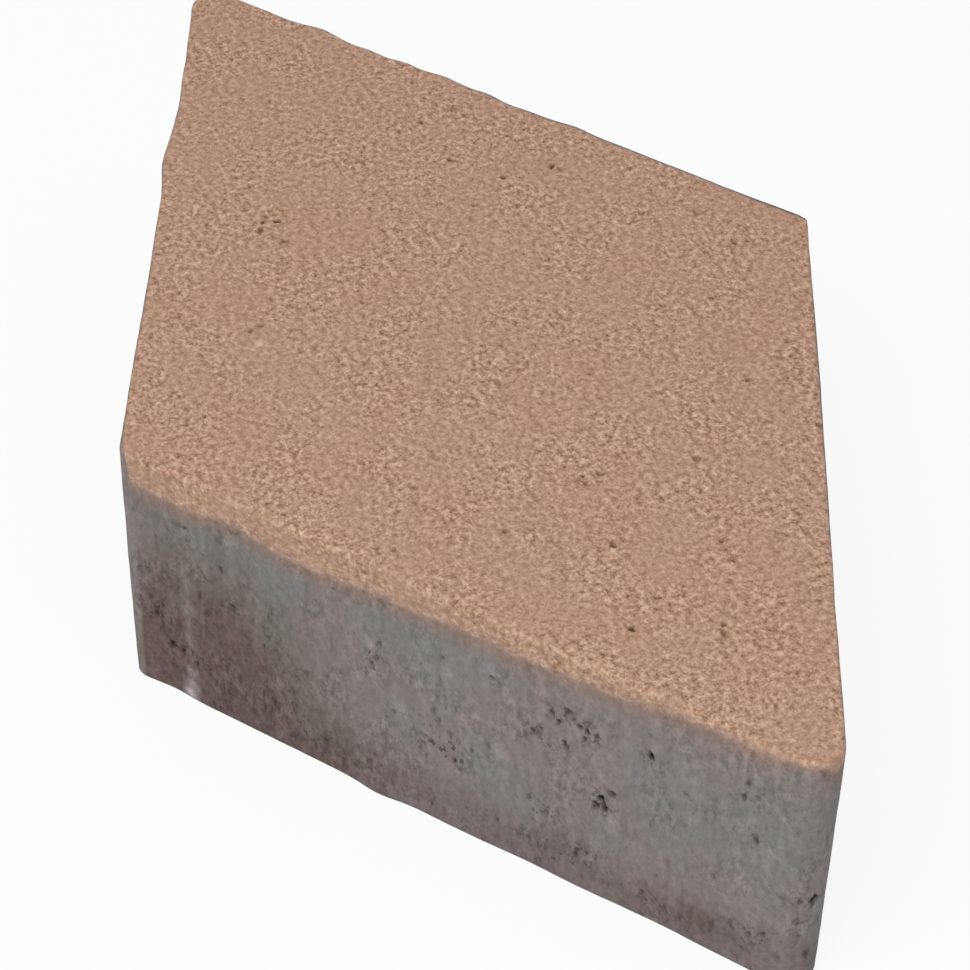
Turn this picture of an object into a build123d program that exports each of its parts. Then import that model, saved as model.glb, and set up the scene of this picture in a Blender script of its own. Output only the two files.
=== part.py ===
from build123d import *
import math
import os

# Rhombus paving stone, pressed in a mould as one block of concrete.
# The origin is the middle of the bed face, +Z runs up to the walking face,
# X runs along the long diagonal and Y along the short one.

# Driving dimensions, in millimetres and degrees
side_length = 150.0
thickness = 60.0
sharp_corner_angle = 60.0
sharp_corner_radius = 5.5
blunt_corner_radius = 3.5
walking_arris_radius = 1.0
bed_arris_radius = 0.6

# From the centre to the two kinds of corner, before they are rounded
half_angle = math.radians(sharp_corner_angle / 2)
reach_to_sharp_corner = side_length * math.cos(half_angle)
reach_to_blunt_corner = side_length * math.sin(half_angle)


def end_corners(outline, axis):
    """The two corners of the outline that lie furthest apart along an axis."""
    in_order = outline.vertices().sort_by(axis)
    return [in_order[0], in_order[-1]]


def plan_outline():
    """The rhombus in plan, with its corners rounded as the mould rounds them."""
    outline = Polygon(
        (reach_to_sharp_corner, 0),
        (0, reach_to_blunt_corner),
        (-reach_to_sharp_corner, 0),
        (0, -reach_to_blunt_corner),
        align=None,
    )
    outline = fillet(end_corners(outline, Axis.X), sharp_corner_radius)
    return fillet(end_corners(outline, Axis.Y), blunt_corner_radius)


def rounded_block():
    """The block, with the arris round its walking face and the one round its bed face."""
    block = extrude(plan_outline(), thickness)
    walking_arris = block.faces().sort_by(Axis.Z)[-1].edges()
    block = fillet(walking_arris, walking_arris_radius)
    bed_arris = block.faces().sort_by(Axis.Z)[0].edges()
    return fillet(bed_arris, bed_arris_radius)


paving_stone = rounded_block()
os.makedirs("parts", exist_ok=True)
export_step(paving_stone, "parts/paving_stone.step")
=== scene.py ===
"""Paving stone: one pressed concrete block, with its sandy walking face and plain grey sides.

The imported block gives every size. One dense mesh stands for it here, with the uneven arris, the
sand texture, the pinholes and the discoloured concrete of the real stone.
"""

import logging
import math
import random
from bisect import bisect_right
from dataclasses import dataclass, field
from enum import Enum
from typing import Any

import bmesh
import bpy
from mathutils import Matrix, Vector, kdtree, noise


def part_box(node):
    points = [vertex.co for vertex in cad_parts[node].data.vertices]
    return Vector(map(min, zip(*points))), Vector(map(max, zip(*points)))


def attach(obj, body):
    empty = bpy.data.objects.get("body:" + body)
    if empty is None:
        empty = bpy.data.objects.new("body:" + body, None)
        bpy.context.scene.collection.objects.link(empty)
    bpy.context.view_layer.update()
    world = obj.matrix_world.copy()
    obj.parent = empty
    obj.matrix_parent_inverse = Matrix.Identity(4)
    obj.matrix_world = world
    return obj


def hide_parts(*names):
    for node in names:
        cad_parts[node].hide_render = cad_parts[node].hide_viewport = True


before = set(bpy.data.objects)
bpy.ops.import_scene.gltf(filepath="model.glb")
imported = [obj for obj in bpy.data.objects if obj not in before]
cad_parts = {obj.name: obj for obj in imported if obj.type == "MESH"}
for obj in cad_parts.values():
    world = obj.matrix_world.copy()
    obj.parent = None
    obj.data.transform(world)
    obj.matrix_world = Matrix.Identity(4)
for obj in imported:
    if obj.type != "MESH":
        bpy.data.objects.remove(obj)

LOG = logging.getLogger("paving_stone")
NODE = "paving_stone"
SLOT = "pressed_concrete"
MM = 0.001
SNAP = 1e-6
TINY = 1e-9

Colour = tuple[float, float, float]


class Side(Enum):
    """The four sides of the stone in order round it, starting at the blunt corner in front."""

    FRONT_RIGHT = 0
    BACK_RIGHT = 1
    BACK_LEFT = 2
    FRONT_LEFT = 3


class Mark(Enum):
    """What the mesh tells the finish at each point, by the name of the attribute."""

    BELOW_FACING = "below_facing"
    HOLLOW = "hollow"
    GRAIN = "pale_grain"
    # Earth stains on the sides, and the painted shade along the top of the back-left side.
    STAIN_AND_SHADE = "earth_stain_and_edge_shade"
    BLOOM = "lime_bloom"
    TEAL = "teal_tinge"
    PLUM = "plum_tinge"
    PITTED = "pitted"


def eased(value: float, low: float, high: float) -> float:
    """Where a value lies between two limits, with soft ends.

    Args:
        value: The value to place.
        low: The limit that gives 0. It may be the larger one.
        high: The limit that gives 1.

    Returns:
        A number from 0 to 1.
    """
    share = min(1.0, max(0.0, (value - low) / (high - low)))
    return share * share * (3 - 2 * share)


def hump(distance: float, width: float) -> float:
    """A bell curve that is 1 at no distance and falls to a third at half the width."""
    return math.exp(-((2 * distance / width) ** 2))


# The shape


@dataclass(frozen=True)
class Ripple:
    """Unevenness of one size over a surface."""

    pitch: float
    height: float
    seed: int = 0

    def rise(self, place: Vector) -> float:
        """How far the surface stands up at a place, in metres."""
        return self.height * noise.noise(place / self.pitch + Vector((self.seed, 0, 3 * self.seed)))


@dataclass(frozen=True)
class Wave:
    """A stretch of an edge, worn back or, with a depth below 0, standing out. In millimetres."""

    side: Side
    along: float
    width: float
    depth: float
    down: float = 0.0
    reach: float = 10.0

    def push(self, along: float, down: float) -> float:
        """How far a point on the side moves in, in metres, for its place in metres."""
        near = hump(along - self.along * MM, self.width * MM)
        return self.depth * MM * near * hump(down - self.down * MM, self.reach * MM)


@dataclass(frozen=True)
class Spot:
    """A pinhole or, with a depth below 0, a proud grain. In millimetres.

    On a side, its place is the distance along it and the distance down from the walking face. With
    no side it is on the walking face, and its place is its x and y.
    """

    place: tuple[float, float]
    width: float
    height: float
    # How dark a pinhole is painted, as shade in it, and how deep it goes; for a grain, how pale it
    # is.
    tone: float
    side: Side | None = None
    depth_share: float = 0.55

    @property
    def depth(self) -> float:
        """How deep it goes, in metres, which is less for the paler ones."""
        return self.depth_share * (1 + self.tone) / 2 * min(self.width, self.height) * MM

    @property
    def breadth(self) -> float:
        """The larger of its two sizes, in metres."""
        return max(self.width, self.height) * MM


@dataclass(frozen=True)
class Patch:
    """A discoloured patch on a side, in millimetres along it and down from the walking face."""

    kind: Mark
    side: Side
    along: float
    down: float
    width: float
    height: float
    strength: float

    def share(self, along: float, down: float) -> float:
        """How strong it is at a place in metres."""
        across = hump(along - self.along * MM, self.width * MM)
        return self.strength * across * hump(down - self.down * MM, self.height * MM)


@dataclass(frozen=True)
class FacingEdge:
    """How far down one side the facing runs, as places along it and depths in millimetres.

    Where its lower edge lies on the arris it is crisp, and elsewhere it wavers and fades.
    """

    knots: tuple[tuple[float, float], ...]
    crisp_drop: float = 1.5
    crisp_calm: float = 0.5
    crisp_below: float = 9.0
    crisp_above: float = 1.5

    def drop(self, along: float) -> float:
        """The depth of the facing's lower edge at a place along the side, in metres."""
        place = along / MM
        after = min(len(self.knots) - 1, max(1, bisect_right(self.knots, (place, math.inf))))
        (start, low), (end, high) = self.knots[after - 1], self.knots[after]
        share = min(1.0, max(0.0, (place - start) / (end - start)))
        return MM * (low + (high - low) * share)

    def past(self, along: float, depth: float, waver: float) -> float:
        """How far a point is past the lower edge, drawn out where the edge is crisp.

        Args:
            along: The point's place along the side, in metres.
            depth: Its depth below the walking face, less its distance in from the outline.
            waver: How far the edge wavers there, in metres.

        Returns:
            The distance in metres, which is below 0 on the facing.
        """
        drop = self.drop(along)
        crisp = eased(drop, self.crisp_drop * MM, 0.0)
        past = depth - drop - waver * (1 - self.crisp_calm * crisp)
        return past * (1 + (self.crisp_below if past > 0 else self.crisp_above) * crisp)


def waves(side: Side, *rows: tuple[float, ...]) -> tuple[Wave, ...]:
    """Waves of one side's edges, from rows of along, width, depth and, away from the top, down."""
    return tuple(Wave(side, *row) for row in rows)


def pinholes(side: Side | None, *rows: tuple[float, ...]) -> tuple[Spot, ...]:
    """Pinholes of one face, from rows of two distances, width, height and how dark each is."""
    return tuple(Spot(row[:2], *row[2:], side) for row in rows)


def patches(side: Side, kind: Mark, *rows: tuple[float, ...]) -> tuple[Patch, ...]:
    """Patches of one kind on one side, from rows of along, down, width, height and strength."""
    return tuple(Patch(kind, side, *row) for row in rows)


@dataclass(frozen=True)
class PinholeScatter:
    """How clusters of pinholes lie on a side that the photograph doesn't show. In millimetres."""

    clusters: int = 9
    from_ends: float = 6.0
    from_top: float = 8.0
    from_foot: float = 5.0
    members: tuple[int, int] = (2, 7)
    spread_along: float = 3.2
    spread_down: float = 2.2
    highest: float = 3.0
    lowest: float = 2.0
    widths: tuple[float, float] = (0.8, 1.6)
    tones: tuple[float, float] = (0.3, 0.9)
    stretches: tuple[float, float] = (0.9, 1.7)

    def drawn(self, rng: random.Random, side: Side, length: float, depth: float) -> list[Spot]:
        """Draws the pinholes of one side.

        Args:
            rng: Where the random numbers come from.
            side: The side.
            length: Its length.
            depth: Its height.

        Returns:
            The pinholes.
        """
        made = []
        for _ in range(self.clusters):
            along = rng.uniform(self.from_ends, length - self.from_ends)
            down = rng.uniform(self.from_top, depth - self.from_foot)
            for _ in range(rng.randint(*self.members)):
                along_here = along + rng.gauss(0, self.spread_along)
                down_here = down + rng.gauss(0, self.spread_down)
                down_here = min(depth - self.lowest, max(self.highest, down_here))
                width = rng.uniform(*self.widths)
                tone = rng.uniform(*self.tones)
                height = width * rng.uniform(*self.stretches)
                made.append(Spot((along_here, down_here), width, height, tone, side))
        return made


@dataclass(frozen=True)
class PatchScatter:
    """How patches of one kind lie on a side that the photograph doesn't show. In millimetres."""

    kind: Mark
    count: int
    from_share: float
    width: float
    strength: float
    from_ends: float = 8.0
    widths: tuple[float, float] = (0.5, 1.2)
    stretches: tuple[float, float] = (0.8, 2.2)
    tallest: float = 30.0
    strengths: tuple[float, float] = (0.5, 1.0)

    def drawn(self, rng: random.Random, side: Side, length: float, depth: float) -> list[Patch]:
        """Draws the patches of one side.

        Args:
            rng: Where the random numbers come from.
            side: The side.
            length: Its length.
            depth: Its height.

        Returns:
            The patches.
        """
        made = []
        for _ in range(self.count):
            along = rng.uniform(self.from_ends, length - self.from_ends)
            down = rng.uniform(self.from_share, 1) * depth
            width = self.width * rng.uniform(*self.widths)
            height = min(self.tallest, width * rng.uniform(*self.stretches))
            strength = self.strength * rng.uniform(*self.strengths)
            made.append(Patch(self.kind, side, along, down, width, height, strength))
        return made


@dataclass
class PavingStone:
    """The block as a mesh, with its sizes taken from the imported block."""

    sharp_angle: float = math.radians(60)
    blunt_radius: float = 3.5 * MM
    arris_radius: float = 1.0 * MM
    bed_arris_radius: float = 0.6 * MM
    cells_along: int = 184
    edge_grading: float = 1.12
    rows_down: int = 46
    row_grading: float = 1.3
    bed_cell: float = 3 * MM
    finer_cuts: int = 2
    finer_reach: float = 0.7
    wear_reach: float = 9 * MM
    side_reach: float = 4 * MM
    bed_reach: float = 0.1 * MM
    sand_fade: float = 1.5 * MM
    stain_from_corner: tuple[float, float] = (1.76 * MM, 2.86 * MM)
    spot_reach: float = 1.3
    spot_limits: tuple[float, float] = (0.64, 0.20)
    spot_ragged: float = 0.75
    spot_ragged_pitch: float = 0.7 * MM
    facing_edges: tuple[FacingEdge, ...] = (
        FacingEdge(
            (
                (0.0, -0.3), (1.5, 0.2), (2.3, 7.0), (6.0, 7.3), (14.0, 7.5), (18.0, 7.1),
                (21.5, 6.3), (25.5, 5.9), (28.5, 6.6), (31.5, 7.8), (37.0, 8.1), (43.0, 8.0),
                (50.0, 7.7), (54.0, 6.6), (58.0, 6.4), (61.5, 7.0), (66.0, 6.6), (70.0, 6.1),
                (76.0, 5.8), (81.0, 5.2), (84.0, 6.2), (90.0, 5.5), (97.0, 5.2), (104.0, 4.7),
                (108.0, 4.3), (113.0, 3.4), (118.0, 2.5), (124.0, 2.1), (131.0, 2.2),
                (136.0, 1.9), (140.0, 1.1), (144.5, 1.1), (147.5, 1.5), (150.0, 2.1),
            )
        ),
        FacingEdge(
            (
                (0.0, 2.1), (2.0, 2.6), (4.9, 3.9), (7.5, 3.0), (11.0, 0.4), (60.0, 0.2),
                (150.0, 0.2),
            )
        ),
        FacingEdge(
            ((0.0, -1.3), (10.0, -1.2), (20.0, -0.9), (75.0, -0.8), (88.0, -0.3), (150.0, 0.0))
        ),
        FacingEdge(
            ((0.0, 0.4), (100.0, 0.3), (135.0, 0.2), (143.0, -0.1), (147.0, -0.4), (150.0, -0.5))
        ),
    )
    edge_waves: tuple[Wave, ...] = (
        *waves(
            Side.FRONT_RIGHT,
            (8.5, 10, 0.5, 60), (56.5, 10, -0.8, 60), (90, 12, 0.3, 60), (118, 28, 0.4, 60),
        ),
        *waves(Side.BACK_RIGHT, (42, 12, 0.2), (70, 22, 0.5, 60)),
        *waves(
            Side.BACK_LEFT,
            (16, 20, 0.25), (35, 12, 0.25), (54, 7, -0.6), (70, 7, 0.3), (75, 7, -0.4),
            (86, 7, -0.6), (95.5, 5, -0.35), (100, 6, 0.4), (109, 6, 0.35), (117, 7, -0.8),
            (126, 8, 0.4), (60, 30, 0.4, 60),
        ),
        *waves(
            Side.FRONT_LEFT,
            (5, 9, -0.6), (28, 10, 0.3), (42, 14, 0.5), (63, 15, -1.0, 2), (104, 24, 0.25),
            (100, 18, 0.5, 60),
        ),
    )
    sand_ripples: tuple[Ripple, ...] = (
        Ripple(46 * MM, 0.25 * MM, 1),
        Ripple(9 * MM, 0.09 * MM, 2),
        Ripple(3.1 * MM, 0.05 * MM, 3),
        Ripple(1.9 * MM, 0.06 * MM, 4),
    )
    body_ripples: tuple[Ripple, ...] = (
        Ripple(52 * MM, 0.24 * MM, 5),
        Ripple(11 * MM, 0.08 * MM, 6),
        Ripple(3.4 * MM, 0.05 * MM, 7),
    )
    bed_ripples: tuple[Ripple, ...] = (Ripple(17 * MM, 0.25 * MM, 8), Ripple(6 * MM, 0.18 * MM, 9))
    facing_ripples: tuple[Ripple, ...] = (
        Ripple(7 * MM, 0.35 * MM, 10),
        Ripple(2.6 * MM, 0.22 * MM, 11),
    )
    front_pinholes: tuple[Spot, ...] = pinholes(
        Side.FRONT_RIGHT,
        (113.1, 15.6, 1.3, 2.3, 1.0), (104.0, 32.5, 1.6, 1.9, 1.0), (102.9, 34.9, 1.8, 2.1, 0.9),
        (104.8, 34.9, 1.3, 1.7, 1.0), (106.3, 30.1, 1.4, 1.8, 0.65), (103.0, 31.0, 1.3, 1.5, 0.25),
        (100.4, 17.0, 1.3, 1.7, 0.95), (98.8, 16.6, 1.3, 1.3, 0.75), (96.5, 14.2, 1.4, 2.0, 0.6),
        (94.7, 17.4, 1.1, 1.4, 0.85), (93.1, 16.0, 1.1, 1.8, 0.65), (102.4, 17.0, 1.5, 1.4, 0.6),
        (96.0, 22.5, 1.0, 1.4, 0.9), (89.4, 22.9, 1.2, 1.3, 0.6), (91.0, 21.6, 1.0, 1.1, 0.5),
        (87.9, 25.0, 0.9, 1.8, 0.35), (99.9, 18.9, 1.1, 1.3, 0.6), (97.6, 15.6, 1.1, 1.2, 0.6),
        (131.4, 14.9, 1.3, 1.9, 0.6), (131.9, 11.2, 1.2, 1.5, 0.35), (134.5, 24.6, 1.2, 1.6, 0.55),
        (144.4, 36.4, 1.2, 1.4, 0.3), (144.7, 42.0, 1.0, 1.8, 0.35), (145.5, 46.1, 1.1, 1.2, 0.3),
        (112.7, 10.3, 0.9, 1.4, 0.35), (120.4, 21.0, 1.0, 1.2, 0.3), (137.8, 48.5, 1.3, 1.2, 0.7),
        (135.2, 49.7, 1.1, 1.2, 0.55), (127.8, 52.3, 1.2, 1.8, 0.4), (113.4, 52.4, 0.9, 1.5, 0.6),
        (101.5, 49.1, 1.0, 0.9, 0.5), (134.0, 54.5, 0.9, 0.9, 0.4), (80.9, 14.5, 1.7, 1.2, 0.45),
        (56.0, 23.8, 1.2, 1.4, 0.45), (55.2, 25.4, 1.2, 1.6, 0.4), (57.0, 19.3, 0.8, 1.1, 0.4),
        (63.0, 22.5, 1.0, 2.0, 0.25), (70.5, 15.2, 1.2, 1.3, 0.3), (68.6, 30.4, 1.1, 1.2, 0.4),
        (69.8, 32.0, 1.0, 1.8, 0.4), (66.8, 38.0, 2.2, 1.2, 0.4), (70.9, 39.3, 1.0, 1.2, 0.5),
        (73.3, 41.0, 1.2, 1.5, 0.5), (74.9, 40.2, 0.9, 1.7, 0.6), (77.0, 36.2, 0.9, 1.6, 0.35),
        (89.3, 41.0, 0.8, 1.4, 0.55), (92.9, 43.2, 1.4, 1.5, 0.45), (60.0, 35.6, 1.0, 1.4, 0.35),
        (80.4, 32.6, 1.0, 1.3, 0.35), (82.5, 52.0, 1.3, 1.1, 0.35), (54.9, 54.3, 1.1, 1.0, 0.4),
        (99.5, 50.6, 1.2, 1.4, 0.35), (116.0, 46.0, 0.8, 0.9, 0.4), (121.3, 55.3, 0.9, 1.0, 0.4),
        (64.6, 56.6, 1.0, 1.0, 0.4), (6.0, 39.6, 1.3, 2.4, 0.6), (7.7, 36.8, 1.0, 1.6, 0.4),
        (9.4, 46.3, 1.5, 1.6, 1.0), (11.8, 47.2, 1.5, 1.4, 0.8), (14.9, 48.7, 1.1, 1.6, 0.8),
        (16.6, 29.2, 1.0, 1.7, 0.5), (22.0, 19.4, 0.9, 2.4, 0.5), (14.2, 12.8, 1.4, 1.0, 0.45),
        (40.8, 36.3, 0.9, 2.1, 0.35), (45.2, 34.8, 0.9, 1.3, 0.35), (47.3, 10.5, 1.3, 0.9, 0.35),
        (31.0, 35.0, 1.0, 1.5, 0.4), (24.1, 27.8, 1.1, 1.3, 0.4), (33.0, 49.2, 1.1, 1.3, 0.5),
        (44.7, 52.8, 1.1, 1.2, 0.5), (18.0, 33.4, 1.0, 1.4, 0.4),
    )
    right_end_pinholes: tuple[Spot, ...] = pinholes(
        Side.BACK_RIGHT, (1.9, 36.5, 1.8, 2.2, 1.0), (1.4, 52.0, 1.4, 1.4, 0.5)
    )
    top_pinholes: tuple[Spot, ...] = pinholes(
        None,
        (-37.7, 37.3, 1.7, 1.3, 1.0), (-36.1, 38.1, 1.2, 0.9, 0.6), (-39.6, 37.2, 1.0, 0.8, 0.4),
        (-50.7, 34.0, 1.1, 1.0, 0.5), (-38.8, 26.5, 1.2, 1.1, 0.8), (-63.8, 28.5, 1.3, 2.2, 0.5),
        (-63.0, 20.4, 1.2, 1.6, 0.75), (-49.1, 19.6, 1.2, 1.1, 0.95),
        (-33.4, 17.2, 1.2, 1.9, 0.5), (-90.0, 18.3, 0.9, 0.9, 0.45),
        (-97.2, 5.6, 1.5, 1.2, 0.35), (-56.0, 3.4, 1.5, 1.2, 0.35), (-47.2, -20.1, 1.3, 1.3, 1.0),
        (-48.3, -22.8, 1.3, 1.2, 1.0), (-46.1, -24.1, 1.3, 1.2, 0.8),
        (-49.5, -19.5, 1.1, 1.0, 0.5), (-40.6, -21.6, 1.2, 1.9, 0.65),
        (-19.9, -36.8, 1.2, 1.4, 0.5), (-19.3, -39.0, 1.2, 1.3, 0.75),
        (-17.2, -16.4, 1.3, 1.1, 0.4), (6.4, 1.5, 1.1, 1.3, 0.4), (4.6, -1.6, 1.1, 1.3, 0.4),
        (9.2, -39.4, 1.6, 1.1, 0.4), (15.5, -4.2, 1.7, 1.3, 0.4), (45.9, 0.5, 1.5, 1.1, 0.6),
        (45.0, -2.6, 1.1, 1.0, 1.0),
        (46.9, -3.1, 1.2, 1.1, 0.6), (62.9, -6.5, 1.7, 1.3, 0.9), (82.6, -14.0, 1.4, 1.2, 1.0),
        (89.0, 0.7, 1.1, 1.1, 0.9), (90.8, -0.5, 1.3, 1.1, 0.6), (71.0, 11.2, 1.1, 1.1, 0.5),
        (76.3, 10.5, 1.3, 1.1, 0.55), (50.7, 18.2, 1.2, 1.3, 0.5), (21.4, 12.5, 1.1, 1.1, 0.5),
        (77.8, -6.5, 0.9, 0.9, 0.6), (51.0, -22.0, 1.2, 1.1, 0.75), (46.2, -42.0, 0.9, 0.9, 0.5),
        (0.4, 57.3, 1.4, 1.2, 0.8), (1.1, 60.0, 0.9, 0.9, 0.4), (-11.2, 55.7, 1.9, 1.5, 0.4),
        (36.3, 38.4, 1.0, 2.2, 0.5), (-16.0, 45.4, 1.2, 1.1, 0.35), (33.5, -31.0, 1.2, 1.1, 0.35),
        (29.0, -24.0, 1.2, 1.1, 0.35), (-76.0, 25.0, 1.2, 1.1, 0.35),
    )
    grains: tuple[Spot, ...] = (
        Spot((-15.0, -39.3), 2.0, 2.0, 0.8, depth_share=-0.10),
        Spot((-58.5, -32.7), 1.9, 1.7, 0.7, depth_share=-0.10),
        Spot((-42.3, -40.0), 1.3, 2.2, 0.5, depth_share=-0.08),
        Spot((-42.3, 44.3), 1.3, 1.3, 0.7, depth_share=-0.10),
        Spot((-22.0, 15.6), 1.4, 1.4, 0.7, depth_share=-0.10),
        Spot((-32.5, 19.0), 1.2, 1.1, 0.6, depth_share=-0.10),
        Spot((10.0, -1.3), 1.5, 1.3, 0.7, depth_share=-0.10),
        Spot((0.2, -16.3), 1.1, 1.0, 0.6, depth_share=-0.10),
        Spot((64.3, -7.4), 1.2, 1.0, 0.9, depth_share=-0.10),
        Spot((77.0, 8.6), 1.4, 1.2, 0.6, depth_share=-0.10),
    )
    seen_patches: tuple[Patch, ...] = (
        *patches(
            Side.FRONT_RIGHT,
            Mark.STAIN_AND_SHADE,
            (12, 52, 50, 60, 1.1), (26, 38, 26, 26, 0.35), (44, 52, 18, 12, 0.5),
            (60, 50, 14, 12, 0.15), (98, 51, 14, 12, 0.25), (124, 51, 12, 10, 0.3),
        ),
        *patches(
            Side.FRONT_RIGHT,
            Mark.TEAL,
            (20, 14, 34, 12, 0.8), (38, 15, 14, 11, 0.7), (34, 28, 9, 17, 0.8),
            (18, 26, 12, 8, 0.5), (25, 49, 8, 12, 0.5), (42, 52, 8, 8, 0.6), (50, 51, 9, 9, 0.5),
            (56, 14, 8, 10, 0.5), (67, 16, 22, 14, 0.8), (62, 36, 10, 13, 0.7),
            (80, 37, 8, 12, 0.8), (97.5, 38, 7, 9, 0.4), (105, 42, 10, 9, 0.6),
            (115, 25, 14, 16, 0.8), (137, 21, 20, 20, 0.8), (134, 50, 14, 12, 0.5),
        ),
        *patches(
            Side.FRONT_RIGHT,
            Mark.PLUM,
            (46, 29, 14, 34, 0.9), (94, 28, 18, 24, 0.9), (131, 40, 12, 10, 0.7),
            (60, 50, 26, 12, 0.7), (120, 51, 24, 10, 0.7),
        ),
        *patches(
            Side.FRONT_RIGHT,
            Mark.PITTED,
            (97.5, 16.5, 14, 7, 0.9), (103.8, 33, 7, 9, 0.7), (90, 23, 12, 8, 0.35),
            (113, 16, 5, 7, 0.6), (131.5, 13.5, 7, 9, 0.6), (134.5, 24, 6, 6, 0.6),
            (136.5, 49.5, 9, 7, 0.7), (144, 41, 7, 15, 0.35), (56, 24, 6, 12, 0.9),
            (70.5, 38, 15, 10, 1.1), (91, 43, 10, 6, 0.8), (80.5, 14, 4, 4, 0.5),
            (7, 39, 8, 9, 0.8), (11.5, 47, 9, 6, 0.9), (20, 44, 44, 34, 0.3),
            (40, 52, 24, 12, 0.5), (100, 53, 60, 12, 0.5),
        ),
        *patches(
            Side.FRONT_RIGHT,
            Mark.BLOOM,
            (13.7, 34, 1.9, 22, 0.14), (13.4, 43, 2.2, 2.6, 0.3), (13.6, 51.2, 2.0, 2.2, 0.5),
            (13.7, 54.6, 2.2, 3.4, 0.7), (13.1, 58.0, 2.9, 4.2, 1.1), (61.5, 33.5, 2.6, 4, 0.35),
            (56.6, 27.5, 2.2, 2.6, 0.4), (54.8, 19.8, 2.0, 2.2, 0.4), (72.0, 18.5, 2.4, 3.4, 0.3),
            (106.5, 38.3, 2.0, 3.4, 0.3), (138.0, 25.5, 2.8, 2.2, 0.3),
            (82.5, 33.0, 2.0, 3.4, 0.25),
        ),
        # A dark band along the top of the back-left side: painted shade on the arris that faces
        # away from the lamp.
        *patches(Side.BACK_LEFT, Mark.STAIN_AND_SHADE, (75, 0, 400, 6, 0.8)),
    )
    hidden_sides: tuple[Side, ...] = (Side.BACK_RIGHT, Side.BACK_LEFT, Side.FRONT_LEFT)
    hidden_pinholes: PinholeScatter = PinholeScatter()
    hidden_patches: tuple[PatchScatter, ...] = (
        PatchScatter(Mark.STAIN_AND_SHADE, 4, 0.6, 40, 0.55),
        PatchScatter(Mark.TEAL, 7, 0.2, 16, 0.8),
        PatchScatter(Mark.PLUM, 5, 0.2, 18, 0.9),
        PatchScatter(Mark.BLOOM, 4, 0.3, 4, 0.35),
        PatchScatter(Mark.PITTED, 9, 0.15, 11, 0.9),
    )
    seed: int = 11
    side_length: float = field(init=False)
    thickness: float = field(init=False)
    sharp_radius: float = field(init=False)

    def __post_init__(self) -> None:
        """Works the block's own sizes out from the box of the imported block."""
        low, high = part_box(NODE)
        size = high - low
        half = self.sharp_angle / 2
        cut_back = self.blunt_radius * (1 / math.cos(half) - 1)
        self.thickness = size.z
        self.side_length = (size.y / 2 + cut_back) / math.sin(half)
        tip = self.side_length * math.cos(half) - size.x / 2
        self.sharp_radius = tip / (1 / math.sin(half) - 1)

    @property
    def corners(self) -> tuple[Vector, ...]:
        """The four corners of the plan before they are rounded, starting with the front one."""
        reach = self.side_length * math.cos(self.sharp_angle / 2)
        width = self.side_length * math.sin(self.sharp_angle / 2)
        places = ((0, -width), (reach, 0), (0, width), (-reach, 0))
        return tuple(Vector((x, y, 0)) for x, y in places)

    def corner_radius(self, corner: int) -> float:
        """The radius of a corner in plan: the even ones are blunt and the odd ones sharp."""
        return self.sharp_radius if corner % 2 else self.blunt_radius

    def direction(self, side: Side) -> Vector:
        """The way a side runs, round the stone."""
        start, end = self.corners[side.value], self.corners[(side.value + 1) % 4]
        return (end - start).normalized()

    def outward(self, side: Side) -> Vector:
        """The way a side faces."""
        way = self.direction(side)
        return Vector((way.y, -way.x, 0))

    def place_on(self, spot: Spot) -> tuple[Vector, Vector]:
        """Where a spot is, and the way its surface faces.

        Args:
            spot: The pinhole or grain.

        Returns:
            Its centre on the smooth surface and the outward direction there.
        """
        first, second = (value * MM for value in spot.place)
        if spot.side is None:
            return Vector((first, second, self.thickness)), Vector((0, 0, 1))
        flat = self.corners[spot.side.value] + self.direction(spot.side) * first
        rounded, _, outward = self.rounded_corner(flat, spot.side)
        return rounded + Vector((0, 0, self.thickness - second)), outward

    def build(self) -> bmesh.types.BMesh:
        """Makes the whole block.

        Returns:
            The closed mesh, with an attribute for each mark.
        """
        shape = self.gridded_block()
        self.round_and_wear(shape)
        self.close_bed(shape)
        spots = self.all_spots()
        self.refine_at(shape, spots)
        self.roughen(shape)
        self.discolour(shape)
        self.press_in(shape, spots)
        bmesh.ops.recalc_face_normals(shape, faces=shape.faces)
        return shape

    def gridded_block(self) -> bmesh.types.BMesh:
        """The block with square edges, cut into a grid on its top and sides and open below."""
        shape = bmesh.new()
        for mark in Mark:
            shape.verts.layers.float.new(mark.value)
        bmesh.ops.create_cube(shape, size=1)
        bed = min(shape.faces, key=lambda face: face.calc_center_median().z)
        bmesh.ops.delete(shape, geom=[bed], context="FACES_ONLY")
        level = [edge for edge in shape.edges if not self.is_upright(edge)]
        bmesh.ops.subdivide_edges(
            shape, edges=level, cuts=self.cells_along - 1, use_grid_fill=True
        )
        upright = [edge for edge in shape.edges if self.is_upright(edge)]
        bmesh.ops.subdivide_edges(shape, edges=upright, cuts=self.rows_down - 1)
        return shape

    @staticmethod
    def is_upright(edge: bmesh.types.BMEdge) -> bool:
        """Whether an edge of the cube of size 1 stands upright."""
        return abs(edge.verts[0].co.z - edge.verts[1].co.z) > 0.5

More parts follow.
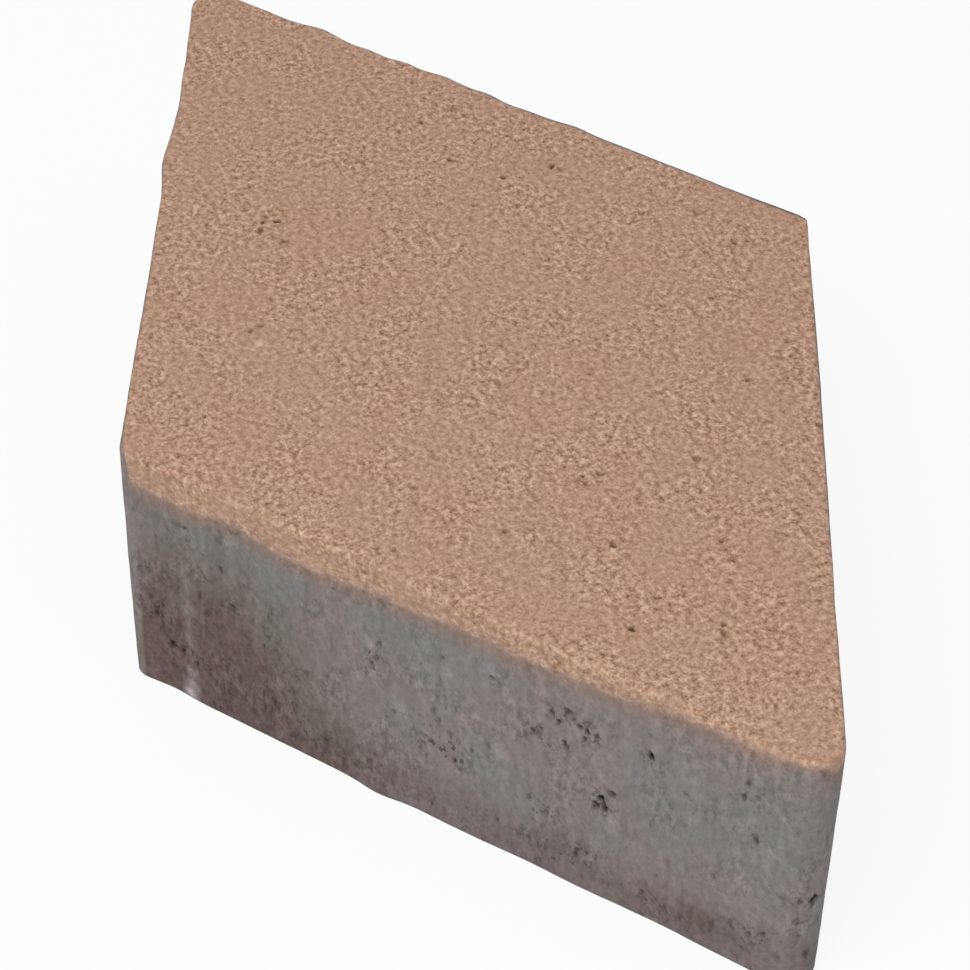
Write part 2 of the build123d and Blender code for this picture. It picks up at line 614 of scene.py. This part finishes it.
    def round_and_wear(self, shape: bmesh.types.BMesh) -> None:
        """Turns the square grid into the rhombus, with round corners and a worn upper arris.

        Args:
            shape: The gridded block, with points from -0.5 to 0.5 along each axis.
        """
        below = shape.verts.layers.float[Mark.BELOW_FACING.value]
        front = self.direction(Side.FRONT_RIGHT)
        left = -self.direction(Side.FRONT_LEFT)
        for point in shape.verts:
            flat = front * self.spread(point.co.x) + left * self.spread(point.co.y)
            depth = self.thickness * (0.5 - point.co.z) ** self.row_grading
            side, along = self.nearest_side(flat)
            rounded, inset, outward = self.rounded_corner(flat, side)
            point[below] = self.past_facing(side, along, depth - inset)
            worn_inset, worn_depth = self.on_arris(inset, depth)
            pushed = worn_inset - inset + self.pushed_in(side, along, inset, depth)
            point.co = rounded - outward * pushed
            point.co.z = self.thickness - worn_depth

    def spread(self, share: float) -> float:
        """The distance from the middle for a share from -0.5 to 0.5, finer stepped at the ends."""
        from_edge = (1 - 2 * abs(share)) ** self.edge_grading
        return math.copysign(0.5 * (1 - from_edge), share) * self.side_length

    def inset_from(self, side: Side, flat: Vector) -> float:
        """How far inside the line of a side a point in plan is."""
        return (self.corners[side.value] - flat).dot(self.outward(side))

    def nearest_side(self, flat: Vector) -> tuple[Side, float]:
        """The side that a point in plan is nearest to, and how far along it the point is."""
        found = min(Side, key=lambda side: self.inset_from(side, flat))
        return found, (flat - self.corners[found.value]).dot(self.direction(found))

    def rounded_corner(self, flat: Vector, side: Side) -> tuple[Vector, float, Vector]:
        """Draws a point in plan in towards the round of its corner.

        Args:
            flat: The point in the rhombus with its corners still sharp.
            side: The side that the point is nearest to.

        Returns:
            The point moved, how far it is from the outline, and the way out to the outline.
        """
        for corner in (side.value, (side.value + 1) % 4):
            tip = self.corners[corner]
            radius = self.corner_radius(corner)
            half = self.sharp_angle / 2 if corner % 2 else (math.pi - self.sharp_angle) / 2
            centre = tip * (1 - radius / math.sin(half) / tip.length)
            spoke = flat - centre
            turn = spoke.angle(tip) if spoke.length > TINY else math.pi
            if turn < math.pi / 2 - half:
                room = radius / math.cos(math.pi / 2 - half - turn)
                reach = spoke.length * radius / room
                return centre + spoke.normalized() * reach, radius - reach, spoke.normalized()
        return flat.copy(), self.inset_from(side, flat), self.outward(side)

    def past_facing(self, side: Side, along: float, depth: float) -> float:
        """How far a point is past the facing's lower edge, in metres."""
        place = self.corners[side.value] + self.direction(side) * along
        waver = sum(ripple.rise(place) for ripple in self.facing_ripples)
        return self.facing_edges[side.value].past(along, depth, waver)

    def on_arris(self, inset: float, depth: float) -> tuple[float, float]:
        """Bends the square upper edge round the arris.

        Args:
            inset: How far inside the outline the point is.
            depth: How far below the walking face it is. One of the two is 0.

        Returns:
            The inset and the depth of the point on the rounded edge.
        """
        radius = self.arris_radius
        if inset >= radius or depth >= radius:
            return inset, depth
        turn = math.pi / 4 * (1 + (inset - depth) / radius)
        return radius * (1 - math.cos(turn)), radius * (1 - math.sin(turn))

    def pushed_in(self, side: Side, along: float, inset: float, depth: float) -> float:
        """How far the waves of the edges push a point in, in metres."""
        near = [wave for wave in self.edge_waves if wave.side is side]
        return hump(inset, self.wear_reach) * sum(wave.push(along, depth) for wave in near)

    def close_bed(self, shape: bmesh.types.BMesh) -> None:
        """Closes the block below, with a small arris and a grid over the bed face."""
        rim = [edge for edge in shape.edges if edge.is_boundary]
        bed = bmesh.ops.contextual_create(shape, geom=rim)["faces"]
        below = shape.verts.layers.float[Mark.BELOW_FACING.value]
        radius = self.bed_arris_radius
        first_step = radius * (1 - math.sqrt(0.5))
        for vertex in bed[0].verts:
            vertex.co.z = radius
        for thickness, height in ((first_step, first_step), (radius - first_step, 0.0)):
            bmesh.ops.inset_region(shape, faces=bed, thickness=thickness, use_even_offset=True)
            for vertex in bed[0].verts:
                vertex.co.z = height
        for vertex in bed[0].verts:
            vertex[below] = self.thickness
        parts: list[Any] = [*bed, *bed[0].edges, *bed[0].verts]
        half_width = self.side_length * math.sin(self.sharp_angle) / 2
        count = int(half_width / self.bed_cell)
        for across in (self.outward(Side.FRONT_RIGHT), self.outward(Side.FRONT_LEFT)):
            for step in range(-count, count + 1):
                middle = across * step * self.bed_cell
                cut = bmesh.ops.bisect_plane(
                    shape, geom=parts, dist=SNAP, plane_no=across, plane_co=middle
                )
                parts = cut["geom"]

    def all_spots(self) -> list[Spot]:
        """The pinholes and grains of the walking face and of the four sides."""
        rng = random.Random(self.seed)
        size = self.side_length / MM, self.thickness / MM
        spots = [*self.front_pinholes, *self.right_end_pinholes, *self.top_pinholes, *self.grains]
        for side in self.hidden_sides:
            spots.extend(self.hidden_pinholes.drawn(rng, side, *size))
        return spots

    def all_patches(self) -> list[Patch]:
        """The discoloured patches of the four sides."""
        rng = random.Random(self.seed + 1)
        size = self.side_length / MM, self.thickness / MM
        found = list(self.seen_patches)
        for side in self.hidden_sides:
            for scatter in self.hidden_patches:
                found.extend(scatter.drawn(rng, side, *size))
        return found

    def refine_at(self, shape: bmesh.types.BMesh, spots: list[Spot]) -> None:
        """Cuts the mesh finer round the pinholes and grains, so that it can take their shapes.

        Args:
            shape: The block.
            spots: Its pinholes and grains.
        """
        shape.faces.ensure_lookup_table()
        centres = kdtree.KDTree(len(shape.faces))
        for index, face in enumerate(shape.faces):
            centres.insert(face.calc_center_median(), index)
        centres.balance()
        chosen = set()
        for spot in spots:
            place, _ = self.place_on(spot)
            for _, index, _ in centres.find_range(place, self.finer_reach * spot.breadth):
                chosen.update(shape.faces[index].edges)
        bmesh.ops.subdivide_edges(
            shape, edges=list(chosen), cuts=self.finer_cuts, use_grid_fill=True
        )

    def roughen(self, shape: bmesh.types.BMesh) -> None:
        """Gives the facing its sand texture, and the rest a faint unevenness."""
        shape.normal_update()
        below = shape.verts.layers.float[Mark.BELOW_FACING.value]
        rises = []
        for point in shape.verts:
            sandy = eased(point[below], self.sand_fade, -self.sand_fade)
            body = self.bed_ripples if point.co.z < self.bed_reach else self.body_ripples
            rise = sandy * sum(ripple.rise(point.co) for ripple in self.sand_ripples)
            rises.append(rise + (1 - sandy) * sum(ripple.rise(point.co) for ripple in body))
        for point, rise in zip(shape.verts, rises):
            point.co += point.normal * rise
            point.co.z = max(0.0, point.co.z)

    def discolour(self, shape: bmesh.types.BMesh) -> None:
        """Marks the stained, bloomed, tinged and pitted places of the sides, and the painted shade
        along the back-left upper edge.
        """
        layers = {mark: shape.verts.layers.float[mark.value] for mark in Mark}
        found = self.all_patches()
        on_side = {side: [patch for patch in found if patch.side is side] for side in Side}
        for point in shape.verts:
            flat = Vector((point.co.x, point.co.y, 0))
            side, along = self.nearest_side(flat)
            if self.inset_from(side, flat) > self.side_reach:
                continue
            down = self.thickness - point.co.z
            stained = eased(min(along, self.side_length - along), *self.stain_from_corner)
            for patch in on_side[side]:
                share = patch.share(along, down) * (stained if patch.kind is Mark.STAIN_AND_SHADE else 1)
                point[layers[patch.kind]] += share

    def press_in(self, shape: bmesh.types.BMesh, spots: list[Spot]) -> None:
        """Presses the pinholes in and the grains out, and marks how far each point is in them."""
        hollow = shape.verts.layers.float[Mark.HOLLOW.value]
        grain = shape.verts.layers.float[Mark.GRAIN.value]
        shape.verts.ensure_lookup_table()
        points = kdtree.KDTree(len(shape.verts))
        for index, point in enumerate(shape.verts):
            points.insert(point.co, index)
        points.balance()
        for number, spot in enumerate(spots):
            place, outward = self.place_on(spot)
            level = Vector((1, 0, 0)) if spot.side is None else Vector((-outward.y, outward.x, 0))
            upright = outward.cross(level)
            layer = grain if spot.depth < 0 else hollow
            for _, index, _ in points.find_range(place, self.spot_reach * spot.breadth):
                point = shape.verts[index]
                offset = point.co - place
                across = math.hypot(
                    offset.dot(level) / (spot.width * MM), offset.dot(upright) / (spot.height * MM)
                )
                fine_place = point.co / self.spot_ragged_pitch + Vector((number, 0, 0))
                ragged = 1 + self.spot_ragged * noise.noise(fine_place)
                share = eased(across * ragged, *self.spot_limits)
                point.co -= outward * spot.depth * share
                point[layer] = max(point[layer], spot.tone * share)


def as_piece(shape: bmesh.types.BMesh, name: str, material: bpy.types.Material) -> bpy.types.Object:
    """Makes an object of a shape, smooth and in one material.

    Args:
        shape: The shape, which is freed.
        name: The piece's name.
        material: Its material.

    Returns:
        The object, linked to the scene.
    """
    mesh = bpy.data.meshes.new(name)
    shape.to_mesh(mesh)
    shape.free()
    mesh.materials.append(material)
    mesh.polygons.foreach_set("use_smooth", [True] * len(mesh.polygons))
    piece = bpy.data.objects.new(name, mesh)
    bpy.context.scene.collection.objects.link(piece)
    return piece


# The finishes


class Socket:
    """One output of a shader node. Sums and products of sockets and numbers add Math nodes."""

    def __init__(self, graph: "ShaderGraph", output: bpy.types.NodeSocket) -> None:
        """Wraps an output of a node in a graph."""
        self.graph = graph
        self.output = output

    def __add__(self, other: "Term") -> "Socket":
        """This plus another."""
        return self.graph.maths("ADD", self, other)

    def __radd__(self, other: float) -> "Socket":
        """A number plus this."""
        return self.graph.maths("ADD", other, self)

    def __sub__(self, other: "Term") -> "Socket":
        """This less another."""
        return self.graph.maths("SUBTRACT", self, other)

    def __rsub__(self, other: float) -> "Socket":
        """A number less this."""
        return self.graph.maths("SUBTRACT", other, self)

    def __mul__(self, other: "Term") -> "Socket":
        """This times another."""
        return self.graph.maths("MULTIPLY", self, other)

    def __rmul__(self, other: float) -> "Socket":
        """A number times this."""
        return self.graph.maths("MULTIPLY", other, self)


Term = Socket | float


class ShaderGraph:
    """The nodes of one material or world, which are all added through one method."""

    def __init__(self, tree: bpy.types.NodeTree) -> None:
        """Empties a node tree to build it anew."""
        self.tree = tree
        tree.nodes.clear()

    def node(
        self,
        kind: str,
        settings: dict[str, Any] | None = None,
        sockets: dict[str | int, Any] | None = None,
    ) -> bpy.types.Node:
        """Adds one node.

        Args:
            kind: The node's type.
            settings: Its properties.
            sockets: For each input by name or number, a value or a socket to link.

        Returns:
            The node.
        """
        made = self.tree.nodes.new(kind)
        for name, value in (settings or {}).items():
            setattr(made, name, value)
        for name, value in (sockets or {}).items():
            if isinstance(value, Socket):
                self.tree.links.new(value.output, made.inputs[name])
            else:
                made.inputs[name].default_value = value
        return made

    def output(
        self,
        name: str | int,
        kind: str,
        settings: dict[str, Any] | None = None,
        sockets: dict[str | int, Any] | None = None,
    ) -> Socket:
        """Adds one node and gives one of its outputs, by name or number."""
        return Socket(self, self.node(kind, settings, sockets).outputs[name])

    def maths(self, operation: str, *terms: Term) -> Socket:
        """A Math node on one to three terms."""
        sockets = dict(enumerate(terms))
        return self.output(0, "ShaderNodeMath", {"operation": operation}, sockets)

    def eased(self, value: Term, low: float, high: float) -> Socket:
        """Where a value lies between two limits, from 0 to 1 with soft ends."""
        settings = {"interpolation_type": "SMOOTHSTEP"}
        sockets = {"Value": value, "From Min": low, "From Max": high}
        return self.output(0, "ShaderNodeMapRange", settings, sockets)

    def blended(self, share: Term, first: Any, second: Any) -> Socket:
        """A mix of two colours, each a socket or a colour of three numbers."""
        first, second = (
            value if isinstance(value, Socket) else (*value, 1) for value in (first, second)
        )
        settings = {"data_type": "RGBA", "clamp_factor": True}
        return self.output(2, "ShaderNodeMix", settings, {0: share, 6: first, 7: second})

    def scaled(self, colour: Socket, share: Term) -> Socket:
        """A colour made lighter or darker by a factor."""
        sockets = {0: colour, "Scale": share}
        return self.output(0, "ShaderNodeVectorMath", {"operation": "SCALE"}, sockets)

    def object_place(self) -> Socket:
        """The place on the piece, in metres."""
        return self.output("Object", "ShaderNodeTexCoord")

    def height_of(self, place: Socket) -> Socket:
        """The height of a place above the bed face, in metres."""
        return self.output("Z", "ShaderNodeSeparateXYZ", None, {0: place})

    def mark(self, mark: Mark) -> Socket:
        """What the mesh carries at each point under one of its marks."""
        return self.output("Fac", "ShaderNodeAttribute", {"attribute_name": mark.value})

    def moved(self, place: Socket, shift: float, upwards: float) -> Socket:
        """A place shifted, with its height scaled."""
        sockets = {"Vector": place, "Scale": (1, 1, upwards), "Location": (shift, shift, shift)}
        return self.output(0, "ShaderNodeMapping", None, sockets)

    def noise(self, place: Socket, pitch: float, detail: float, rough: float) -> Socket:
        """Cloudy noise, about 0.5, with the pitch between its lumps in metres."""
        sockets = {"Vector": place, "Scale": 1 / pitch, "Detail": detail, "Roughness": rough}
        return self.output("Fac", "ShaderNodeTexNoise", None, sockets)


@dataclass(frozen=True)
class Cloud:
    """Cloudy noise of one size, shifted to a part of its own. Upwards below 1 draws it out."""

    pitch: float
    shift: float = 0.0
    detail: float = 2.0
    rough: float = 0.5
    upwards: float = 1.0

    def value(self, graph: ShaderGraph, place: Socket) -> Socket:
        """The noise at a place, about 0.5."""
        moved = graph.moved(place, self.shift, self.upwards)
        return graph.noise(moved, self.pitch, self.detail, self.rough)

    def swing(self, graph: ShaderGraph, place: Socket) -> Socket:
        """The noise at a place, about 0."""
        return self.value(graph, place) - 0.5


@dataclass(frozen=True)
class Onset:
    """How a look sets in, from the value where it starts to the one where its share is full."""

    start: float
    full: float
    share: float = 1.0

    def of(self, graph: ShaderGraph, value: Socket) -> Socket:
        """The share for a value."""
        return self.share * graph.eased(value, self.start, self.full)


@dataclass(frozen=True)
class SandyFacing:
    """The fine tan concrete of the walking face."""

    tan: Colour = (0.444, 0.271, 0.188)
    pink: Colour = (0.446, 0.266, 0.189)
    # The tan a little darker, for the facing on the sides: painted shade, a shaded copy of the
    # walking face's colour.
    shaded_side_tan: Colour = (0.408, 0.259, 0.177)
    rim: Colour = (0.396, 0.260, 0.199)
    # Dark end of the grit, in the lows of the sand relief: partly the sand's own tone, partly
    # painted shade.
    gap_shade: Colour = (0.178, 0.087, 0.048)
    # Pale end of the grit, on the highs of the relief, and the colour of the proud grains: pale
    # sand, partly painted light on the highs.
    pale: Colour = (0.735, 0.497, 0.373)
    # Near black inside the pinholes of the facing: painted shade.
    pinhole_shade: Colour = (0.090, 0.042, 0.024)
    clouds: Cloud = Cloud(21 * MM)
    pinker: Onset = Onset(0.40, 0.62)
    at_rim: Onset = Onset(-2.2 * MM, -0.6 * MM)
    grit: Cloud = Cloud(1.25 * MM, detail=2.5, rough=0.8)
    contrast: float = 3.85
    bustle: Cloud = Cloud(13 * MM, 3.1)
    busier: Onset = Onset(0.38, 0.62, 0.5)
    least_busy: float = 0.75
    rubbed_calm: float = 0.25
    grain_share: float = 0.8

    def colour(self, graph: ShaderGraph, place: Socket, below: Socket, on_side: Socket) -> Socket:
        """The facing's colour.

        Args:
            graph: The material's nodes.
            place: The place on the piece.
            below: How far below the edge of the facing it is, in metres, and so below 0 on it.
            on_side: 1 on the sides and 0 above. On the sides the tan is painted in shade, and the
                sand is calmer where the mould rubs it smooth.

        Returns:
            The colour.
        """
        pinker = self.pinker.of(graph, self.clouds.value(graph, place))
        base = graph.blended(pinker, self.tan, self.pink)
        # Painted shade: on the sides the facing takes the darker tan.
        base = graph.blended(on_side, base, self.shaded_side_tan)
        base = graph.blended(self.at_rim.of(graph, below), base, self.rim)
        busy = self.least_busy + self.busier.of(graph, self.bustle.value(graph, place))
        calm = 1.0 - self.rubbed_calm * on_side
        # The grit shares its noise with the bump, so the sand is darker in the lows and paler on
        # the highs: its own tone with painted shade and light.
        grit = self.grit.swing(graph, place) * self.contrast * busy * calm
        base = graph.blended(0.0 - grit, base, self.gap_shade)
        base = graph.blended(grit, base, self.pale)
        return graph.blended(self.grain_share * graph.mark(Mark.GRAIN), base, self.pale)


@dataclass(frozen=True)
class GreyBody:
    """The plain grey concrete of the sides and the bed, with what has settled on it, and some
    painted shade.
    """

    grey: Colour = (0.222, 0.191, 0.182)
    teal: Colour = (0.197, 0.196, 0.184)
    plum: Colour = (0.224, 0.185, 0.184)
    brown: Colour = (0.243, 0.178, 0.149)
    olive: Colour = (0.164, 0.148, 0.117)
    earth: Colour = (0.126, 0.088, 0.081)
    silt: Colour = (0.122, 0.103, 0.084)
    lime: Colour = (0.430, 0.395, 0.385)
    # Near black specks in the pitted patches: painted shade of fine pores that the mesh doesn't
    # have.
    gap_shade: Colour = (0.034, 0.027, 0.025)
    # Near black inside the pinholes of the body: painted shade.
    pinhole_shade: Colour = (0.013, 0.009, 0.008)
    hue: Cloud = Cloud(16 * MM, 2.3, 3)
    to_teal: Onset = Onset(0.48, 0.34, 0.5)
    to_plum: Onset = Onset(0.50, 0.64, 0.7)
    fray: Cloud = Cloud(11 * MM, 6.3, 4, 0.6)
    blotch: Cloud = Cloud(4.2 * MM, 9.1, upwards=0.6)
    tinge_fray: float = 0.6
    stain_fray: float = 1.5
    stain_blotch: float = 1.6
    to_olive: Onset = Onset(0.05, 0.45, 0.42)
    soiled_foot: Onset = Onset(17 * MM, 6 * MM, 0.42)
    near_facing: Onset = Onset(5.2 * MM, 0.4 * MM)
    brown_share: float = 0.95
    brown_fray: float = 1.2
    ragged: Cloud = Cloud(2.6 * MM, 7.7)
    bloom_fray: float = 1.5
    bloom_ragged: float = 2.6
    drag: Cloud = Cloud(2.2 * MM, 5.0, upwards=0.05)
    drag_contrast: float = 0.35
    bustle: Cloud = Cloud(10 * MM, 8.8)
    busier: Onset = Onset(0.46, 0.62)
    # The same noise as the mortar bump: partly the grey's own tone, partly painted shade in the
    # lows and painted light on the highs.
    grit: Cloud = Cloud(1.4 * MM, 1.7, 3, 0.75, 0.6)
    contrast: float = 1.5
    calm_grit: float = 0.7
    busy_grit: float = 0.55
    stained_grit: float = 0.6
    specks: Cloud = Cloud(1.3 * MM, 4.4, rough=0.6, upwards=0.65)
    to_speck: Onset = Onset(0.46, 0.36, 0.7)
    busy_pitting: float = 0.25

    def colour(self, graph: ShaderGraph, place: Socket, below: Socket) -> Socket:
        """The body's colour.

        Args:
            graph: The material's nodes.
            place: The place on the piece.
            below: How far below the edge of the facing it is, in metres.

        Returns:
            The colour.
        """
        fray = self.fray.swing(graph, place)
        blotch = self.blotch.swing(graph, place)
        base = self.tinged(graph, place, fray)
        base = self.soiled(graph, place, base, fray, blotch)
        brown = self.near_facing.of(graph, below) * (self.brown_share + self.brown_fray * fray)
        base = graph.blended(brown, base, self.brown)
        ragged = self.bloom_ragged * self.ragged.swing(graph, place)
        bloom = graph.mark(Mark.BLOOM) * (1.0 + self.bloom_fray * fray + ragged)
        base = graph.blended(bloom, base, self.lime)
        busy = self.busier.of(graph, self.bustle.value(graph, place))
        livelier = self.calm_grit + self.busy_grit * busy
        livelier = livelier * (1.0 + self.stained_grit * graph.mark(Mark.STAIN_AND_SHADE))
        # Darker in the lows of the mortar relief and paler on its highs: grey tone with painted
        # shade and light.
        grit = self.contrast * self.grit.swing(graph, place) * livelier
        drag = self.drag_contrast * self.drag.swing(graph, place)
        base = graph.scaled(base, 1.0 + grit + drag)
        # Pitted patches get dark specks: painted shade in fine pores.
        pitted = graph.mark(Mark.PITTED) + self.busy_pitting * busy
        speck = pitted * self.to_speck.of(graph, self.specks.value(graph, place))
        return graph.blended(speck, base, self.gap_shade)

    def tinged(self, graph: ShaderGraph, place: Socket, fray: Socket) -> Socket:
        """The clean grey with its grey-green and reddish tinges.

        Args:
            graph: The material's nodes.
            place: The place on the piece.
            fray: How far the tinges' edges are drawn out or in there, about 0.

        Returns:
            The colour.
        """
        hue = self.hue.value(graph, place)
        base = graph.blended(self.to_teal.of(graph, hue), self.grey, self.teal)
        base = graph.blended(self.to_plum.of(graph, hue), base, self.plum)
        frayed = self.tinge_fray * fray
        base = graph.blended(graph.mark(Mark.TEAL) + frayed, base, self.teal)
        return graph.blended(graph.mark(Mark.PLUM) + frayed, base, self.plum)

    def soiled(
        self, graph: ShaderGraph, place: Socket, base: Socket, fray: Socket, blotch: Socket
    ) -> Socket:
        """A colour under the earth of the stains and of the foot, and under the painted shade along
        the back-left upper edge.

        Args:
            graph: The material's nodes.
            place: The place on the piece.
            base: The colour.
            fray: The coarse unevenness of the earth, about 0.
            blotch: Its fine unevenness, about 0.

        Returns:
            The soiled colour.
        """
        uneven = 1.0 + self.stain_fray * fray + self.stain_blotch * blotch
        # Earth stains, and the painted shade along the back-left upper edge.
        stain_and_shade = graph.mark(Mark.STAIN_AND_SHADE)
        base = graph.blended(self.to_olive.of(graph, stain_and_shade) * uneven, base, self.olive)
        silty = graph.mark(Mark.TEAL) + self.tinge_fray * blotch
        soil = graph.blended(silty, self.earth, self.silt)
        foot = self.soiled_foot.of(graph, graph.height_of(place))
        return graph.blended((stain_and_shade + foot) * uneven, base, soil)


@dataclass(frozen=True)
class PressedConcrete:
    """The stone's whole finish: the facing over the body, and painted shade in the pinholes."""

    facing: SandyFacing
    body: GreyBody
    walking_height: float
    arris_height: float = 1.4 * MM
    seam_width: float = 1.0 * MM
    seam_fray: Cloud = Cloud(2.6 * MM, detail=3, rough=0.6)
    seam_fray_height: float = 1.6 * MM
    grain_height: float = 0.22 * MM
    rubbed_relief: float = 0.4
    mortar_relief: float = 0.6
    roughness: float = 0.93
    specular: float = 0.25

    def material(self) -> bpy.types.Material:
        """Builds the material.

        Returns:
            The material, which reads the piece's own place and its marks.
        """
        made = bpy.data.materials.new(SLOT)
        made.use_nodes = True
        graph = ShaderGraph(made.node_tree)
        place = graph.object_place()
        below = graph.mark(Mark.BELOW_FACING)
        frayed = below + self.seam_fray_height * self.seam_fray.swing(graph, place)
        body_share = graph.eased(frayed, -self.seam_width, self.seam_width)
        top = self.walking_height
        on_side = graph.eased(graph.height_of(place), top, top - self.arris_height)
        facing = self.facing.colour(graph, place, below, on_side)
        colour = graph.blended(body_share, facing, self.body.colour(graph, place, below))
        # Painted shade in the pinholes, darker the further into each one a point lies.
        pinhole_shade = graph.blended(body_share, self.facing.pinhole_shade, self.body.pinhole_shade)
        colour = graph.blended(graph.mark(Mark.HOLLOW), colour, pinhole_shade)
        sand = self.facing.grit.swing(graph, place) * (1.0 - self.rubbed_relief * on_side)
        mortar = self.mortar_relief * self.body.grit.swing(graph, place)
        height = sand * (1.0 - body_share) + mortar * body_share
        relief = {"Height": height, "Distance": self.grain_height, "Strength": 1.0}
        sockets = {
            "Base Color": colour,
            "Roughness": self.roughness,
            "Specular IOR Level": self.specular,
            "Normal": graph.output(0, "ShaderNodeBump", None, relief),
        }
        surface = graph.output(0, "ShaderNodeBsdfPrincipled", None, sockets)
        graph.node("ShaderNodeOutputMaterial", None, {0: surface})
        return made


# The studio


@dataclass(frozen=True)
class Studio:
    """Floor, light and camera round the stone."""

    floor_size: float = 6.0
    floor_colour: Colour = (0.90, 0.90, 0.90)
    floor_glow: float = 0.88
    sky_strength: float = 0.62
    lamp_power: float = 10.4
    lamp_size: float = 0.9
    lamp_distance: float = 1.3
    lamp_azimuth: float = math.radians(38)
    lamp_elevation: float = math.radians(57)
    camera_azimuth: float = math.radians(60.8012)
    camera_elevation: float = math.radians(43.6239)
    camera_roll: float = math.radians(-1.2678)
    camera_distance: float = 0.612515
    camera_lens: float = 115.782
    camera_nearest: float = 0.05
    aim: tuple[float, float, float] = (0.0098276, -0.0032684, 0.028125)

    @staticmethod
    def seen_plainly(graph: ShaderGraph) -> Socket:
        """1 for rays from the camera, in a reflection or through something clear."""
        path = graph.node("ShaderNodeLightPath")
        camera, glossy, clear = (
            Socket(graph, path.outputs[name])
            for name in ("Is Camera Ray", "Is Glossy Ray", "Is Transmission Ray")
        )
        return graph.maths("MINIMUM", camera + glossy + clear, 1.0)

    @staticmethod
    def bearing(azimuth: float, elevation: float) -> Vector:
        """The direction from the stone of a thing at an azimuth and elevation."""
        flat = math.cos(elevation)
        return Vector((math.sin(azimuth) * flat, -math.cos(azimuth) * flat, math.sin(elevation)))

    def floor(self) -> None:
        """Lays the pale floor, which keeps a faint shadow."""
        made = bpy.data.materials.new("studio_floor")
        made.use_nodes = True
        graph = ShaderGraph(made.node_tree)
        matt = graph.output(0, "ShaderNodeBsdfDiffuse", None, {"Color": (*self.floor_colour, 1)})
        glow = graph.output(0, "ShaderNodeEmission", None, {"Strength": 1.0})
        share = self.floor_glow * self.seen_plainly(graph)
        mixed = graph.output(0, "ShaderNodeMixShader", None, {0: share, 1: matt, 2: glow})
        graph.node("ShaderNodeOutputMaterial", None, {0: mixed})
        shape = bmesh.new()
        bmesh.ops.create_grid(shape, x_segments=1, y_segments=1, size=self.floor_size / 2)
        as_piece(shape, "floor", made)

    def sky(self) -> None:
        """Lights the stone evenly from all round, behind a white background."""
        world = bpy.data.worlds.new("studio_sky")
        world.use_nodes = True
        bpy.context.scene.world = world
        graph = ShaderGraph(world.node_tree)
        seen = self.seen_plainly(graph)
        strength = self.sky_strength + (1 - self.sky_strength) * seen
        light = graph.output(0, "ShaderNodeBackground", None, {"Strength": strength})
        graph.node("ShaderNodeOutputWorld", None, {0: light})

    def lamp(self) -> None:
        """Hangs one large soft lamp in front of and above the stone."""
        light = bpy.data.lights.new("soft_lamp", "AREA")
        light.shape = "DISK"
        light.size = self.lamp_size
        light.energy = self.lamp_power
        holder = bpy.data.objects.new("soft_lamp", light)
        away = self.bearing(self.lamp_azimuth, self.lamp_elevation)
        holder.location = Vector(self.aim) + away * self.lamp_distance
        holder.rotation_euler = away.to_track_quat("Z", "Y").to_euler()
        bpy.context.scene.collection.objects.link(holder)

    def camera(self) -> None:
        """Sets the camera up where the photograph was taken from."""
        data = bpy.data.cameras.new("camera")
        data.lens = self.camera_lens
        data.clip_start = self.camera_nearest
        holder = bpy.data.objects.new("camera", data)
        away = self.bearing(self.camera_azimuth, self.camera_elevation)
        turn = away.to_track_quat("Z", "Y").to_matrix() @ Matrix.Rotation(-self.camera_roll, 3, "Z")
        place = Matrix.Translation(Vector(self.aim) + away * self.camera_distance)
        holder.matrix_world = place @ turn.to_4x4()
        bpy.context.scene.collection.objects.link(holder)
        bpy.context.scene.camera = holder


def main() -> None:
    """Builds the dressed stone and the studio round it."""
    logging.basicConfig(level=logging.INFO, format="%(name)s: %(message)s")
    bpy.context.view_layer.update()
    stone = PavingStone()
    finish = PressedConcrete(SandyFacing(), GreyBody(), stone.thickness)
    piece = as_piece(stone.build(), "paving_stone_dressed", finish.material())
    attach(piece, "root")
    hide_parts(NODE)
    triangles = sum(len(face.vertices) - 2 for face in piece.data.polygons)
    LOG.info("%s: %d triangles", piece.name, triangles)
    studio = Studio()
    studio.floor()
    studio.sky()
    studio.lamp()
    studio.camera()
    bpy.context.scene.view_settings.view_transform = "Standard"


if __name__ == "__main__":
    main()
